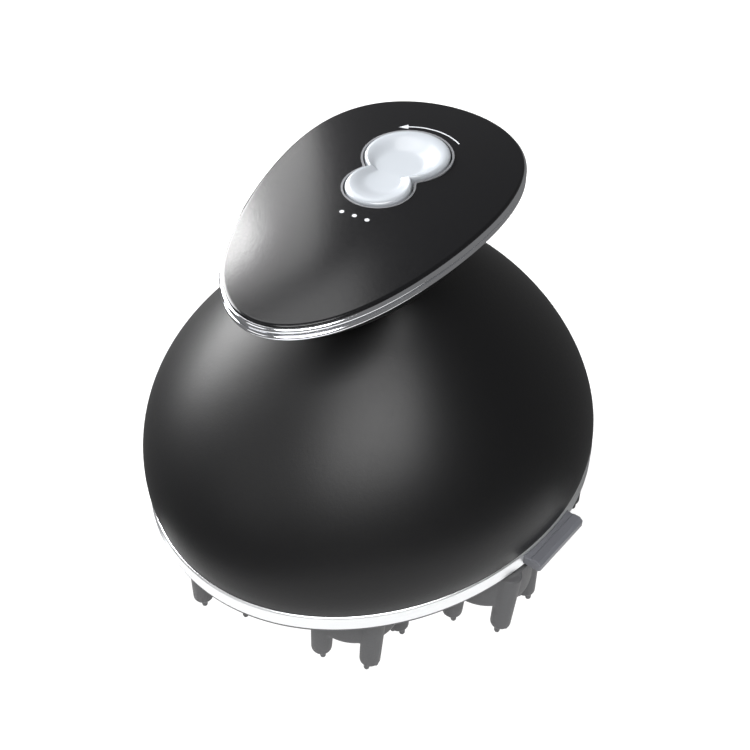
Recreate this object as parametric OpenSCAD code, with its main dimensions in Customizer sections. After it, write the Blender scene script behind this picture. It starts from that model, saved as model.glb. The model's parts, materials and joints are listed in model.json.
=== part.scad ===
// Cordless scalp massager: an egg-shaped dome on a silver band, a plate handle with a
// rocker button, and eight geared silicone heads under the base.
// Millimetres. +Z is up and +X points to the handle's wide end. The origin is the centre
// of the base's flat underside, and the heads hang below it.

/* [Body] */
// Length of the base along X, over the silver band
base_len = 127; // [124:1:132]
// Width of the base along Y, over the silver band
base_wid = 113; // [111:1:118]
// Height at which the dome's curve would close, above the silver band's lower edge
dome_h = 65; // [63:1:70]
// Wall thickness of the dome shell
shell_t = 2.2; // [1.8:0.1:2.6]
// Height of the silver band
band_h = 4.3; // [4.2:0.1:5.2]

/* [Handle] */
// Length of the handle's plate
handle_len = 91; // [86:1:98]
// Width of the handle's plate before its egg shape widens it
handle_wid = 54.6; // [50:0.2:57]
// Height of the plate's edge above the silver band's lower edge
handle_h = 74.7; // [73:0.1:80]
// Tilt of the plate, wide end up, in degrees
handle_tilt = 2.7; // [0:0.1:4]
// Height of the cover's crown above its edge
crown_h = 1.7; // [1:0.1:3]

/* [Button] */
// Radius of the rocker's large lobe
lobe_big = 10; // [9:0.1:10.5]
// Radius of the rocker's small lobe
lobe_small = 7.6; // [7:0.1:8.5]
// Distance between the centres of the two lobes
lobe_gap = 13.6; // [11:0.1:14]

/* [Heads] */
// Radius of a head's bowl
bowl_r = 11.4; // [10:0.1:11.8]
// Height of the whole head below the base
head_h = 22; // [19:0.5:26]
// Radius of a finger at its root
finger_r = 3; // [2.3:0.1:3]
// Sideways lean of the fingers, in degrees
finger_lean = 4; // [0:1:9]

/* [Release tab] */
// Length of the tab along the band
tab_len = 19; // [15:0.5:20]
// How far the tab stands out of the band
tab_out = 4; // [3:0.1:5]

/* [Hidden] */
$fn = 48;
SIDES = 72;              // points round every lofted outline
base_egg = 0.053;        // how much wider the base is towards +X
lip_h = 1;               // dark lip seen under the silver band
lip_in = 0.8;            // how far the base plate stays inside the band's face
plate_t = 3;             // base plate thickness
band_t = 1.6;            // silver band thickness at its top
bevel = 0.6;             // bevel on the band's top edge
chamber_out = 3;         // gear chamber wall: outer face, inside the band's face
chamber_t = 0.8;         // gear chamber wall thickness
chamber_h = 5;           // gear chamber wall height
deck_in = 5.4;           // how far the deck stays inside the band's face
deck_z = 12;             // underside of the deck over the gears
deck_t = 2;              // deck thickness
floor_z = deck_z + deck_t;
dome_in = 0.4;           // how far the dome stays inside the band's face
dome_p = 1.3;            // exponents of the dome's curve
dome_q = 0.64;
dome_swell = 0.43;       // how much fuller the dome is half way up
dome_end = 0.82;         // share of dome_h where the neck's fillet starts
dome_lean = 3.5;         // lean of the dome's top towards the wide end
dome_egg = -0.3;         // change of the egg shape from the band to the dome's top
neck = 0.3;              // neck size as a share of the dome's size
DOME_STEPS = 13;
NECK_STEPS = 5;
FLARE_STEPS = 9;

handle_x = -0.5;
handle_k1 = 0.25;        // egg shape of the plate
handle_k2 = 0.158;
trim_h = 3.2;            // chrome rim height
trim_t = 1;              // chrome rim thickness outside the tray
trim_lip = 0.3;          // chrome over the tray's top edge
trim_top = 0.1;          // chrome rim's top over the rim plane
seat_h = 2;              // tray wall behind the chrome rim
cover_t = 1.6;           // cover thickness
cover_edge = 1.5;        // width of the cover's skirt
cover_in = 0.6;          // how far the cover's edge, lying on the chrome, stays inside it
cover_rise = 0.6;        // the cover's top edge over the rim plane
COVER_STEPS = 6;

waist_power = 14;        // how sharp the corner is between the rocker's two lobes
button_gap = 0.4;        // air gap round the rocker
surround_t = 0.5;        // grey surround round that gap
button_top = 3.1;        // rocker's top over the plate's plane
button_bottom = -0.2;
dish_d = 1.1;            // depth of the dished lobes
rocker_z = -1.8;         // rocker's pivot height in the plate's frame
pin_r = 1;
run_gap = 0.05;          // radial clearance of every running fit
frame_t = 1.5;           // button frame wall
frame_bottom = -4;
board_t = 1.5;

HEADS = 8;
head_in = 11.5;          // from the band's face at the side to a head's axis
head_ring = base_wid / 2 - head_in;
ring_turn = 3.5;         // turn of the ring of heads from the handle's line
gear_n = 72;             // drive gear teeth
spindle_n = 12;          // spindle gear teeth
gear_m = 2 * head_ring / (gear_n + spindle_n);
gear_h = 5;
gear_z = 5;
press_angle = 25;
tooth_top = 0.8;         // stub teeth: height over the pitch circle, in modules
tooth_foot = 1;
backlash = 0.12;         // tooth thinning at the pitch circle
shaft_r = 2.5;           // spindle radius
drive_r = 3;             // drive shaft radius
bush_r = 4.5;
head_gap = 0.6;          // air between the base and a head
bowl_h = 13;             // from the base down to the bowl's bottom
bowl_round = 2.5;
hub_depth = 7;           // how far the spindle reaches into a head
FINGERS = 5;
NUBS = 3;
finger_ring = bowl_r - 0.9;     // circle that the fingers stand on
finger_taper = 0.4;
nub_r = 0.8;
nub_h = 2;
head_turn = 20;          // turn of every head at rest
post_ring = head_ring + 2;      // circle that the four deck posts stand on
post_r = 3;
screw_r = 1.5;
screw_len = 8;
screw_head_r = 2.8;
screw_head_h = 2;
seat_r = 25;             // flat round seat in the middle of the underside
groove_w = 1;            // groove round that seat
groove_d = 0.4;

tab_t = -98;             // the tab's place on the base outline, in degrees
tab_z = lip_h + 0.6;
tab_h = 2.9;
tab_travel = 1.5;
tab_step = 0.6;          // step round the tab's outer face
tab_gap = 0.1;           // air over and under the tab
flange_gap = 0.4;        // air at each end of the flange
flange_y = -2.7;         // outer face of the flange that holds the tab in
flange_t = 1.2;
flange_more = 1.2;       // flange longer than the tab at each end
flange_half = tab_len / 2 + flange_more;

cell_r = 9.15;           // 18500 lithium cell
cell_len = 50;
cell_x = -30;
cell_cap = 1.5;          // the cell's end cap, and its clearance over the deck
holder_wall = 1.3;
holder_end = 2;
holder_h = 9;
tap_in = 29.5;           // from the band's end to the tapping motor's axis
tap_x = base_len / 2 - tap_in;
tap_r = 8;
tap_h = 20;
tap_collar = [3, 1.5];   // radius and height of the motor's collar
tap_foot = [3, 8, 3];    // the motor's foot on the deck
socket_d = 6;            // depth of the shaft's socket
weight_r = 6.5;
weight_h = 5;
weight_up = 1;           // air under the weight
motor_r = 14;
motor_h = 28;
gearbox_r = 16;
gearbox_h = 8;
motor_cap = [4, 2];      // radius and height of the end cap
terminal = [2, 3, 3];
terminal_x = 8;
motor_screw_ring = motor_r - 3;
motor_screw_head = 1;
motor_screw_len = 5;
board_x = 2;
board_y = 22;
board_w = 40;
board_h = 22;
board_up = 1;            // the board's edge over the deck
rib_t = 3;               // the deck's two slotted ribs that hold the board
rib_h = 6;
rib_out = board_w / 2 - rib_t;
part_t = 3;              // how far the connector stands out of the board
capacitor_r = 2.5;
contact_in = 9.5;        // from the band's end to the charging pads
contact_x = base_len / 2 - contact_in;
contact_y = 6;
contact_r = 1.5;
contact_collar = [2.3, 1];
contact_h = deck_z - 4;
switch_w = 6;            // tact switch and its plunger
switch_h = 1.4;
plunger_r = 1.7;
plunger_h = 0.7;

// ---------- outlines and lofts ----------

// One point of an egg outline, moved out by d along its normal. o = [a, b, k1, k2].
function egg_point(o, t) =
    [o[0] * cos(t), o[1] * sin(t) * (1 + o[2] * cos(t) + o[3] * pow(cos(t), 2))];
function egg_tangent(o, t) =
    let (step = egg_point(o, t + 0.5) - egg_point(o, t - 0.5)) step / norm(step);
function egg_edge(o, t, d) =
    let (p = egg_point(o, t), v = egg_tangent(o, t)) [p.x + d * v.y, p.y - d * v.x];
function egg_outline(o, d) = [for (i = [0:SIDES - 1]) egg_edge(o, 360 * i / SIDES, d)];

BASE = [base_len / 2, base_wid / 2, base_egg, 0];
PLATE = [handle_len / 2, handle_wid / 2, handle_k1, handle_k2];

// A solid ring through a closed row of outlines with the same number of points.
module loft(rings) {
    n = len(rings[0]);
    m = len(rings);
    faces = [
        for (j = [0:m - 1])
            for (i = [0:n - 1])
                let (
                    a = j * n + i,
                    b = j * n + (i + 1) % n,
                    c = ((j + 1) % m) * n + (i + 1) % n,
                    e = ((j + 1) % m) * n + i
                )
                each [[a, c, b], [a, e, c]]
    ];
    polyhedron(points = [for (r = rings) each r], faces = faces);
}

// Lofts a cross-section of [outward, height] pairs along an egg outline.
module egg_band(o, section) {
    loft([for (s = section) [for (p = egg_outline(o, s[0])) [p.x, p.y, s[1]]]]);
}

module egg_plate(o, d, h) {
    linear_extrude(h) polygon(egg_outline(o, d));
}

module egg_wall(o, outer, inner, h) {
    linear_extrude(h)
        difference() {
            polygon(egg_outline(o, outer));
            polygon(egg_outline(o, inner));
        }
}

// ---------- dome, neck and handle tray ----------

function mix(a, b, f) = a + (b - a) * f;
function bezier3(p, f) =
    pow(1 - f, 3) * p[0] + 3 * pow(1 - f, 2) * f * p[1] + 3 * (1 - f) * f * f * p[2]
    + pow(f, 3) * p[3];
function dome_share(z) = (z - band_h) / (dome_h - band_h);
function dome_scale(z) =
    let (u = dome_share(z)) pow(1 - pow(u, dome_p), dome_q) * (1 + dome_swell * u * (1 - u));

DOME = [base_len / 2 - dome_in, base_wid / 2 - dome_in];
fillet_z = dome_end * dome_h;
fillet_s = dome_scale(fillet_z);
fillet_slope = (fillet_s - dome_scale(fillet_z + 0.1)) / 0.1;
corner_z = fillet_z + (fillet_s - neck) / fillet_slope;
tray_z = handle_h - trim_h;
neck_z = min(corner_z + 2, tray_z - 3 * trim_h);

// A section is [a, b, k1, k2, centre x, z, tilt, outward offset].
function dome_section(s, z) =
    let (u = dome_share(z))
    [DOME[0] * s, DOME[1] * s, base_egg + dome_egg * u, 0, dome_lean * u, lip_h + z, 0, 0];
function raised(s, h) =
    [for (k = [0:7]) k == 4 ? s[4] - h * sin(s[6]) : k == 5 ? s[5] + h * cos(s[6]) : s[k]];
NECK_SECTION = dome_section(neck, neck_z);
TRAY_SECTION =
    raised(concat(PLATE, [handle_x, lip_h + handle_h, handle_tilt, -trim_t]), -trim_h);

function dome_sections() = [
    for (i = [0:DOME_STEPS])
        let (z = mix(band_h, fillet_z, sin(90 * i / DOME_STEPS))) dome_section(dome_scale(z), z)
];
function neck_sections() = [
    for (i = [1:NECK_STEPS])
        let (
            f = i / NECK_STEPS,
            s = mix(mix(fillet_s, neck, f), neck, f),
            z = mix(mix(fillet_z, corner_z, f), mix(corner_z, neck_z, f), f)
        )
        dome_section(s, z)
];
function flare_sections() = [
    for (i = [1:FLARE_STEPS])
        let (
            f = i / FLARE_STEPS,
            m = bezier3([0, 0, 0.75, 1], f),
            rise = bezier3([0, 0.42, 0.3, 1], f),
            s = mix(NECK_SECTION, TRAY_SECTION, m)
        )
        [for (k = [0:7]) k == 5 ? mix(NECK_SECTION[5], TRAY_SECTION[5], rise) : s[k]]
];

SHELL = concat(dome_sections(), neck_sections(), flare_sections(), [raised(TRAY_SECTION, seat_h)]);

function section_ring(s, d, rise) = [
    for (p = egg_outline(s, s[7] + d))
        [s[4] + p.x * cos(s[6]), p.y, s[5] + rise + p.x * sin(s[6])]
];
function slope_of(i) =
    let (
        low = SHELL[max(i - 1, 0)],
        high = SHELL[min(i + 1, len(SHELL) - 1)],
        run = (high[0] + high[1] - low[0] - low[1]) / 2,
        climb = high[5] - low[5]
    )
    [run, climb] / norm([run, climb]);
// The inner face follows the outer one at the wall's thickness. Both ends stay level.
function inner_ring(i) =
    let (slope = (i == 0 || i == len(SHELL) - 1) ? [0, 1] : slope_of(i))
    section_ring(SHELL[i], -shell_t * slope[1], shell_t * slope[0]);

module dome_shell() {
    color("#1b1b1d")
        loft(concat(
            [for (s = SHELL) section_ring(s, 0, 0)],
            [for (i = [len(SHELL) - 1:-1:0]) inner_ring(i)]
        ));
}

// ---------- handle plate ----------

module at_handle() {
    translate([handle_x, 0, lip_h + handle_h]) rotate([0, -handle_tilt, 0]) children();
}

module rim_trim() {
    lip = -trim_t - trim_lip;
    tray_top = seat_h - trim_h;
    color("#d9dadd")
        at_handle()
            egg_band(PLATE, [
                [-trim_t, -trim_h], [-0.35, -trim_h], [-0.05, -2.7], [0, -2.2], [-0.2, -1.9],
                [0, -1.6], [0, -0.7], [-0.15, -0.15], [-0.4, trim_top], [lip, trim_top],
                [lip, tray_top], [-trim_t, tray_top]
            ]);
}

// The rocker's outline round its waist, as two circles seen from the chord they share.
waist_big = (pow(lobe_gap, 2) + pow(lobe_big, 2) - pow(lobe_small, 2)) / (2 * lobe_gap);
waist_small = waist_big - lobe_gap;
waist_x = 0.204 * handle_len - waist_big;
function lobe_reach(c, r, t) = c * cos(t) + sqrt(pow(r, 2) - pow(c * sin(t), 2));
function rocker_edge(t, d) =
    let (
        big = lobe_reach(waist_big, lobe_big + d, t),
        small = lobe_reach(waist_small, lobe_small + d, t),
        r = pow(pow(big, waist_power) + pow(small, waist_power), 1 / waist_power)
    )
    [waist_x + r * cos(t), r * sin(t)];
function rocker_outline(d) = [for (i = [0:SIDES - 1]) rocker_edge(360 * i / SIDES, d)];

function crown(p) =
    let (
        u = p.x / PLATE[0],
        v = p.y / (PLATE[1] * (1 + handle_k1 * u + handle_k2 * u * u))
    )
    cover_rise + crown_h * (1 - min(1, u * u + v * v));
function on_crown(points, drop) = [for (p = points) [p.x, p.y, crown(p) - drop]];
function at_level(points, z) = [for (p = points) [p.x, p.y, z]];
function between(outer, inner, f) = [for (i = [0:len(outer) - 1]) mix(outer[i], inner[i], f)];

module handle_cover() {
    rim = egg_outline(PLATE, -cover_in);
    skirt = egg_outline(PLATE, -trim_t - trim_lip);
    skirt_in = egg_outline(PLATE, -trim_t - trim_lip - cover_edge);
    hole = rocker_outline(button_gap + surround_t);
    seat = seat_h - trim_h;
    color("#161618")
        at_handle()
            loft(concat(
                [at_level(skirt, seat), at_level(skirt, trim_top), at_level(rim, trim_top)],
                [for (i = [0:COVER_STEPS]) on_crown(between(rim, hole, i / COVER_STEPS), 0)],
                [for (i = [COVER_STEPS:-1:0])
                    on_crown(between(skirt_in, hole, i / COVER_STEPS), cover_t)],
                [at_level(skirt_in, seat)]
            ));
}

module button_surround() {
    top = crown([waist_x - lobe_small, 0]) - 0.1;
    color("#4b4c50")
        at_handle()
            translate([0, 0, top - cover_t])
                linear_extrude(cover_t)
                    difference() {
                        polygon(rocker_outline(button_gap + surround_t));
                        polygon(rocker_outline(button_gap));
                    }
}

module at_pivot() {
    at_handle() translate([waist_x, 0, rocker_z]) children();
}

keel = [3.2, 9.6];        // the rocker's keel between the frame's ears
nib_r = 1.2;
nib_z = -1.2;
pin_len = 15;

module dish(x, r) {
    ball = (pow(r, 2) + pow(dish_d, 2)) / (2 * dish_d);
    translate([x, 0, button_top + ball - dish_d]) sphere(ball, $fn = 96);
}

module rocker_button() {
    color("#e9ebf0")
        at_handle() {
            difference() {
                translate([0, 0, button_bottom])
                    linear_extrude(button_top - button_bottom) polygon(rocker_outline(0));
                dish(waist_x + waist_big, lobe_big - 1.4);
                dish(waist_x + waist_small, lobe_small - 1.4);
            }
            for (x = [waist_big, waist_small])
                translate([waist_x + x, 0, nib_z]) cylinder(r = nib_r, h = button_bottom - nib_z);
            translate([waist_x - keel[0] / 2, -keel[1] / 2, rocker_z - pin_r])
                cube([keel[0], keel[1], button_bottom - rocker_z + pin_r]);
            translate([waist_x, pin_len / 2, rocker_z])
                rotate([90, 0, 0]) cylinder(r = pin_r, h = pin_len);
        }
}

frame_len = lobe_gap + lobe_big + lobe_small + 5;
frame_wid = 2 * lobe_big + 4;
frame_x = waist_x + (waist_big + lobe_big + waist_small - lobe_small) / 2;
frame_top = crown([frame_x + frame_len / 2, frame_wid / 2]) - cover_t - 0.1;

module button_frame() {
    ear = frame_wid / 2 - keel[1] / 2 - 0.2;
    color("#2b2b2e")
        at_handle()
            difference() {
                union() {
                    translate([frame_x, 0, frame_bottom])
                        linear_extrude(frame_top - frame_bottom)
                            difference() {
                                square([frame_len, frame_wid], center = true);
                                square([frame_len - 2 * frame_t, frame_wid - 2 * frame_t], center = true);
                            }
                    for (side = [-1, 1])
                        translate([waist_x - 2, side * (frame_wid - ear) / 2 - ear / 2, frame_bottom])
                            cube([4, ear, button_bottom - 0.2 - frame_bottom]);
                }
                translate([waist_x, frame_wid, rocker_z])
                    rotate([90, 0, 0]) cylinder(r = pin_r + run_gap, h = 2 * frame_wid);
            }
}

module switch_board() {
    color("#1f5a37")
        at_handle()
            translate([frame_x - frame_len / 2 + 1.5, -frame_wid / 2 + 1, frame_bottom - board_t])
                cube([frame_len - 3, frame_wid - 2, board_t]);
}

module tact_switches() {
    color("#3a3b3f")
        at_handle()
            for (x = [waist_big, waist_small])
                translate([waist_x + x, 0, frame_bottom]) {
                    translate([-switch_w / 2, -switch_w / 2, 0]) cube([switch_w, switch_w, switch_h]);
                    cylinder(r = plunger_r, h = switch_h + plunger_h);
                }
}

// ---------- base ----------

module at_tab() {
    p = egg_edge(BASE, tab_t, 0);
    v = egg_tangent(BASE, tab_t);
    translate([p.x, p.y, 0]) rotate(atan2(v.y, v.x) + 180) children();
}

module tab_space(half, z0, z1, depth) {
    at_tab() translate([-half, -depth, z0]) cube([2 * half, depth + 2, z1 - z0]);
}

module base_band() {
    top = lip_h + band_h;
    color("#d3d5d8")
        difference() {
            egg_band(BASE, [
                [-lip_in, lip_h], [-0.15, lip_h], [0, lip_h + 0.3], [0, top - bevel],
                [-bevel * 0.6, top], [-band_t, top], [-band_t, plate_t], [-lip_in, plate_t]
            ]);
            tab_space(tab_len / 2 + 2 * tab_gap, tab_z - tab_gap, tab_z + tab_h + tab_gap, -flange_y);
        }
}

module ring_of(count, radius, start) {
    for (i = [0:count - 1])
        rotate(start + 360 * i / count) translate([radius, 0, 0]) children();
}

module at_heads() {
    ring_of(HEADS, head_ring, 180 / HEADS + ring_turn) children();
}

// The two charging pads lie on either side of one deck post, beyond it.
module at_contacts() {
    for (side = [-1, 1])
        rotate(ring_turn) translate([contact_x, side * contact_y, 0]) children();
}

module base_plate() {
    chamber_in = chamber_out + chamber_t;
    notch = -flange_y + flange_t + tab_travel + 2 * tab_gap;
    color("#3d3e42")
        difference() {
            union() {
                egg_plate(BASE, -lip_in, plate_t);
                translate([0, 0, plate_t])
                    egg_wall(BASE, -chamber_out, -chamber_in, chamber_h);
            }
            at_heads() translate([0, 0, -1]) cylinder(r = bush_r, h = plate_t + 2);
            translate([0, 0, plate_t - 1.6]) cylinder(r = drive_r + run_gap, h = 3);
            ring_of(4, post_ring, ring_turn) {
                translate([0, 0, -1]) cylinder(r = screw_r + 0.1, h = plate_t + 2);
                translate([0, 0, -1]) cylinder(r = screw_head_r + 0.2, h = 1 + screw_head_h + 0.2);
            }
            translate([0, 0, -1])
                difference() {
                    cylinder(r = seat_r + groove_w, h = 1 + groove_d, $fn = 96);
                    cylinder(r = seat_r, h = 1 + groove_d, $fn = 96);
                }
            at_contacts() translate([0, 0, -1]) cylinder(r = contact_r, h = plate_t + 2);
            tab_space(flange_half + flange_gap, tab_z - tab_gap, tab_z + tab_h + 3 * tab_gap, notch);
        }
}

module base_seal() {
    color("#26262a")
        difference() {
            translate([0, 0, plate_t])
                egg_wall(BASE, -band_t, -chamber_out, lip_h + band_h - plate_t);
            tab_space(flange_half + flange_gap, 0, tab_z + tab_h + 3 * tab_gap, 6);
        }
}

module spindle_bushings() {
    color("#b08d4a")
        at_heads()
            difference() {
                union() {
                    cylinder(r = bush_r, h = plate_t);
                    translate([0, 0, plate_t]) cylinder(r = bush_r + 1.5, h = gear_z - plate_t);
                }
                translate([0, 0, -1]) cylinder(r = shaft_r + run_gap, h = gear_z + 2);
            }
}

module base_screws() {
    color("#8d9094")
        ring_of(4, post_ring, ring_turn) {
            difference() {
                translate([0, 0, 0.2]) cylinder(r = screw_head_r, h = screw_head_h);
                translate([-2, -0.3, 0]) cube([4, 0.6, 1]);
                translate([-0.3, -2, 0]) cube([0.6, 4, 1]);
            }
            translate([0, 0, 0.2 + screw_head_h]) cylinder(r = screw_r, h = screw_len);
        }
}

module charge_contacts() {
    color("#c8a24a")
        at_contacts() {
            cylinder(r = contact_r, h = contact_h);
            translate([0, 0, plate_t]) cylinder(r = contact_collar[0], h = contact_collar[1]);
        }
}

module release_tab() {
    color("#4a4d55")
        at_tab() {
            translate([-tab_len / 2, flange_y, tab_z])
                cube([tab_len, tab_out - flange_y - tab_step, tab_h]);
            translate([tab_step - tab_len / 2, tab_out - tab_step, tab_z + tab_step / 2])
                cube([tab_len - 2 * tab_step, tab_step, tab_h - tab_step]);
            translate([-flange_half, flange_y - flange_t, tab_z])
                cube([2 * flange_half, flange_t, tab_h - 3 * tab_gap]);
        }
}

// ---------- deck, motors, battery and board ----------

module at_board() {
    translate([board_x - board_w / 2, board_y, floor_z + board_up]) children();
}

module gear_deck() {
    color("#55575c")
        difference() {
            union() {
                translate([0, 0, deck_z]) egg_plate(BASE, -deck_in, deck_t);
                ring_of(4, post_ring, ring_turn)
                    translate([0, 0, plate_t]) cylinder(r = post_r, h = deck_z - plate_t);
                for (side = [-1, 1])
                    translate([board_x + side * rib_out - rib_t / 2, board_y - board_t, floor_z])
                        cube([rib_t, 3 * board_t, rib_h]);
            }
            translate([0, 0, deck_z - 1]) cylinder(r = drive_r + 0.5, h = deck_t + 2);
            ring_of(4, post_ring, ring_turn)
                translate([0, 0, plate_t - 1]) cylinder(r = screw_r, h = screw_len + 1);
            ring_of(2, motor_screw_ring, 0) {
                translate([0, 0, deck_z - 1]) cylinder(r = screw_r, h = deck_t + 2);
                translate([0, 0, deck_z - 1]) cylinder(r = screw_head_r, h = motor_screw_head + 1);
            }
            at_board() cube([board_w, board_t, board_h]);
        }
}

module massage_motor() {
    color("#9da0a5")
        translate([0, 0, floor_z])
            difference() {
                union() {
                    cylinder(r = gearbox_r, h = gearbox_h);
                    translate([0, 0, gearbox_h]) cylinder(r = motor_r, h = motor_h - gearbox_h);
                    translate([0, 0, motor_h]) cylinder(r = motor_cap[0], h = motor_cap[1]);
                    for (side = [-1, 1])
                        translate([side * terminal_x, 0, motor_h] - [terminal.x, terminal.y, 0] / 2)
                            cube(terminal);
                }
                translate([0, 0, -1]) cylinder(r = drive_r + run_gap, h = gearbox_h);
                ring_of(2, motor_screw_ring, 0)
                    translate([0, 0, -1]) cylinder(r = screw_r, h = motor_screw_len + 1);
            }
}

module motor_screws() {
    color("#8d9094")
        ring_of(2, motor_screw_ring, 0)
            translate([0, 0, deck_z]) {
                cylinder(r = screw_head_r, h = motor_screw_head);
                translate([0, 0, motor_screw_head]) cylinder(r = screw_r, h = motor_screw_len);
            }
}

module tapping_motor() {
    color("#a7a9ad")
        translate([tap_x, 0, floor_z])
            difference() {
                union() {
                    cylinder(r = tap_r, h = tap_h - tap_collar[1]);
                    cylinder(r = tap_collar[0], h = tap_h);
                    translate([-tap_r, 0, 0] - [tap_foot.x, tap_foot.y, 0] / 2) cube(tap_foot);
                }
                translate([0, 0, tap_h - socket_d])
                    cylinder(r = pin_r + run_gap, h = socket_d + 2);
            }
}

module tapping_weight() {
    color("#6c6a66")
        translate([tap_x, 0, floor_z + tap_h]) {
            translate([0, 0, 0.2 - socket_d])
                cylinder(r = pin_r, h = socket_d - 0.2 + weight_up + weight_h + pin_r);
            translate([0, 0, weight_up])
                difference() {
                    cylinder(r = weight_r, h = weight_h);
                    translate([-weight_r - 1, pin_r + 0.6, -1])
                        cube([2 * weight_r + 2, weight_r, weight_h + 2]);
                }
        }
}

module battery_cell() {
    color("#3567a8")
        translate([cell_x, 0, floor_z + cell_cap + cell_r])
            rotate([90, 0, 0]) {
                translate([0, 0, -cell_len / 2]) cylinder(r = cell_r, h = cell_len - cell_cap);
                translate([0, 0, cell_len / 2 - cell_cap]) cylinder(r = cell_r / 3, h = cell_cap);
            }
}

module battery_holder() {
    color("#222326")
        difference() {
            translate([cell_x - cell_r - holder_wall, -cell_len / 2 - holder_end, floor_z])
                cube([2 * (cell_r + holder_wall), cell_len + 2 * holder_end, holder_h]);
            translate([cell_x, cell_len / 2, floor_z + cell_cap + cell_r])
                rotate([90, 0, 0]) cylinder(r = cell_r + run_gap, h = cell_len);
        }
}

module main_board() {
    color("#1f5a37")
        at_board() cube([board_w, board_t, board_h]);
}

module board_components() {
    chip = [board_w / 4, board_h / 2];
    color("#2a2a2c")
        at_board() {
            translate([0.3 * board_w, -part_t / 2, 0.36 * board_h]) cube([chip.x, part_t / 2, chip.y]);
            translate([0.62 * board_w, -part_t, 0.2 * board_h]) cube([chip.x, part_t, chip.y / 2]);
            for (spot = [[0.12, 0.6], [0.8, 0.75]])
                translate([spot.x * board_w, 0, spot.y * board_h])
                    rotate([90, 0, 0]) cylinder(r = capacitor_r, h = 2 * capacitor_r);
        }
}

// ---------- gears, spindles and heads ----------

function involute(a) = tan(a) * 180 / PI - a;
// Half of a tooth's angle at radius r.
function tooth_half(n, r) =
    let (
        pitch = gear_m * n / 2,
        foot = pitch * cos(press_angle),
        a = r > foot ? acos(foot / r) : 0
    )
    90 / n - backlash / 2 / pitch * 180 / PI + involute(press_angle) - involute(a);

module gear(n, h) {
    pitch = gear_m * n / 2;
    radii = [for (f = [-tooth_foot, -0.6, -0.3, 0, 0.3, 0.6, tooth_top]) pitch + f * gear_m];
    last = len(radii) - 1;
    flank = [
        for (i = [0:n - 1])
            each concat(
                [for (j = [0:last]) let (t = 360 * i / n - tooth_half(n, radii[j]))
                    radii[j] * [cos(t), sin(t)]],
                [for (j = [last:-1:0]) let (t = 360 * i / n + tooth_half(n, radii[j]))
                    radii[j] * [cos(t), sin(t)]]
            )
    ];
    linear_extrude(h) polygon(flank);
}

module drive_gear() {
    hole_ring = 0.29 * gear_m * gear_n;
    color("#e2ded2") {
        translate([0, 0, gear_z])
            difference() {
                rotate(ring_turn) gear(gear_n, gear_h);
                ring_of(6, hole_ring, 0)
                    translate([0, 0, -1]) cylinder(r = hole_ring / 2.8, h = gear_h + 2);
            }
        translate([0, 0, plate_t]) cylinder(r = 2 * drive_r, h = gear_z - plate_t);
        translate([0, 0, plate_t - 1.5]) cylinder(r = drive_r, h = floor_z + 6 - plate_t + 1.5);
    }
}

module at_head(i) {
    turn = (i - 0.5) * 360 / HEADS + ring_turn;
    rotate(turn) translate([head_ring, 0, 0]) children();
}

module geared_spindle(i) {
    color("#cfcabc")
        at_head(i) {
            translate([0, 0, gear_z]) gear(spindle_n, gear_h);
            translate([0, 0, -hub_depth]) cylinder(r = shaft_r, h = deck_z + hub_depth - 0.2);
        }
}

// A leaning finger that ends in three nubs. Its root is inside the bowl.
module finger() {
    straight = head_h - nub_h - head_gap - 1;
    drop = straight / cos(finger_lean);
    shift = -straight * tan(finger_lean);
    tip_r = finger_r - finger_taper;
    translate([finger_ring, 0, -head_gap - 0.4]) {
        rotate([-finger_lean, 0, 0]) {
            translate([0, 0, -drop]) cylinder(r1 = tip_r, r2 = finger_r, h = drop);
            translate([0, 0, -drop - 0.6]) cylinder(r1 = tip_r - 0.7, r2 = tip_r, h = 0.6);
        }
        for (k = [0:NUBS - 1])
            translate([0, shift, 0])
                rotate(360 / NUBS * (k + 0.5))
                    translate([finger_r - 1.6, 0, head_gap + 0.4 - head_h + nub_r]) {
                        sphere(nub_r);
                        cylinder(r = nub_r, h = nub_h);
                    }
    }
}

module silicone_head() {
    lower = [
        for (t = [0:15:90])
            [bowl_r - bowl_round * (1 - cos(t)), -bowl_h + bowl_round * (1 - sin(t))]
    ];
    difference() {
        union() {
            rotate_extrude()
                polygon(concat([[0, -head_gap], [bowl_r, -head_gap]], lower, [[0, -bowl_h]]));
            for (k = [0:FINGERS - 1]) rotate(360 / FINGERS * k) finger();
        }
        translate([0, 0, -hub_depth]) cylinder(r = shaft_r, h = hub_depth);
    }
}

module head(i) {
    color("#6b6b6e")
        at_head(i) rotate(head_turn - (i - 0.5) * 360 / HEADS - ring_turn) silicone_head();
}

dome_shell();
handle_cover();
rim_trim();
button_surround();
rocker_button();
button_frame();
switch_board();
tact_switches();
base_band();
base_plate();
base_seal();
release_tab();
spindle_bushings();
base_screws();
charge_contacts();
gear_deck();
massage_motor();
motor_screws();
tapping_motor();
tapping_weight();
battery_cell();
battery_holder();
main_board();
board_components();
drive_gear();
geared_spindle(1);  // spindle_1
geared_spindle(2);  // spindle_2
geared_spindle(3);  // spindle_3
geared_spindle(4);  // spindle_4
geared_spindle(5);  // spindle_5
geared_spindle(6);  // spindle_6
geared_spindle(7);  // spindle_7
geared_spindle(8);  // spindle_8
head(1);  // silicone_head_1
head(2);  // silicone_head_2
head(3);  // silicone_head_3
head(4);  // silicone_head_4
head(5);  // silicone_head_5
head(6);  // silicone_head_6
head(7);  // silicone_head_7
head(8);  // silicone_head_8
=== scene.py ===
"""Looks of the scalp massager: smooth skins over the CAD parts, materials, light and camera.

Lengths are written in millimetres, as in the CAD source, and turned into metres on the way
into a mesh. The handle has its own frame: its origin is in the plane of the plate's edge.
"""
import json
import math

import bmesh
import bpy
from mathutils import Matrix, Vector

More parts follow.
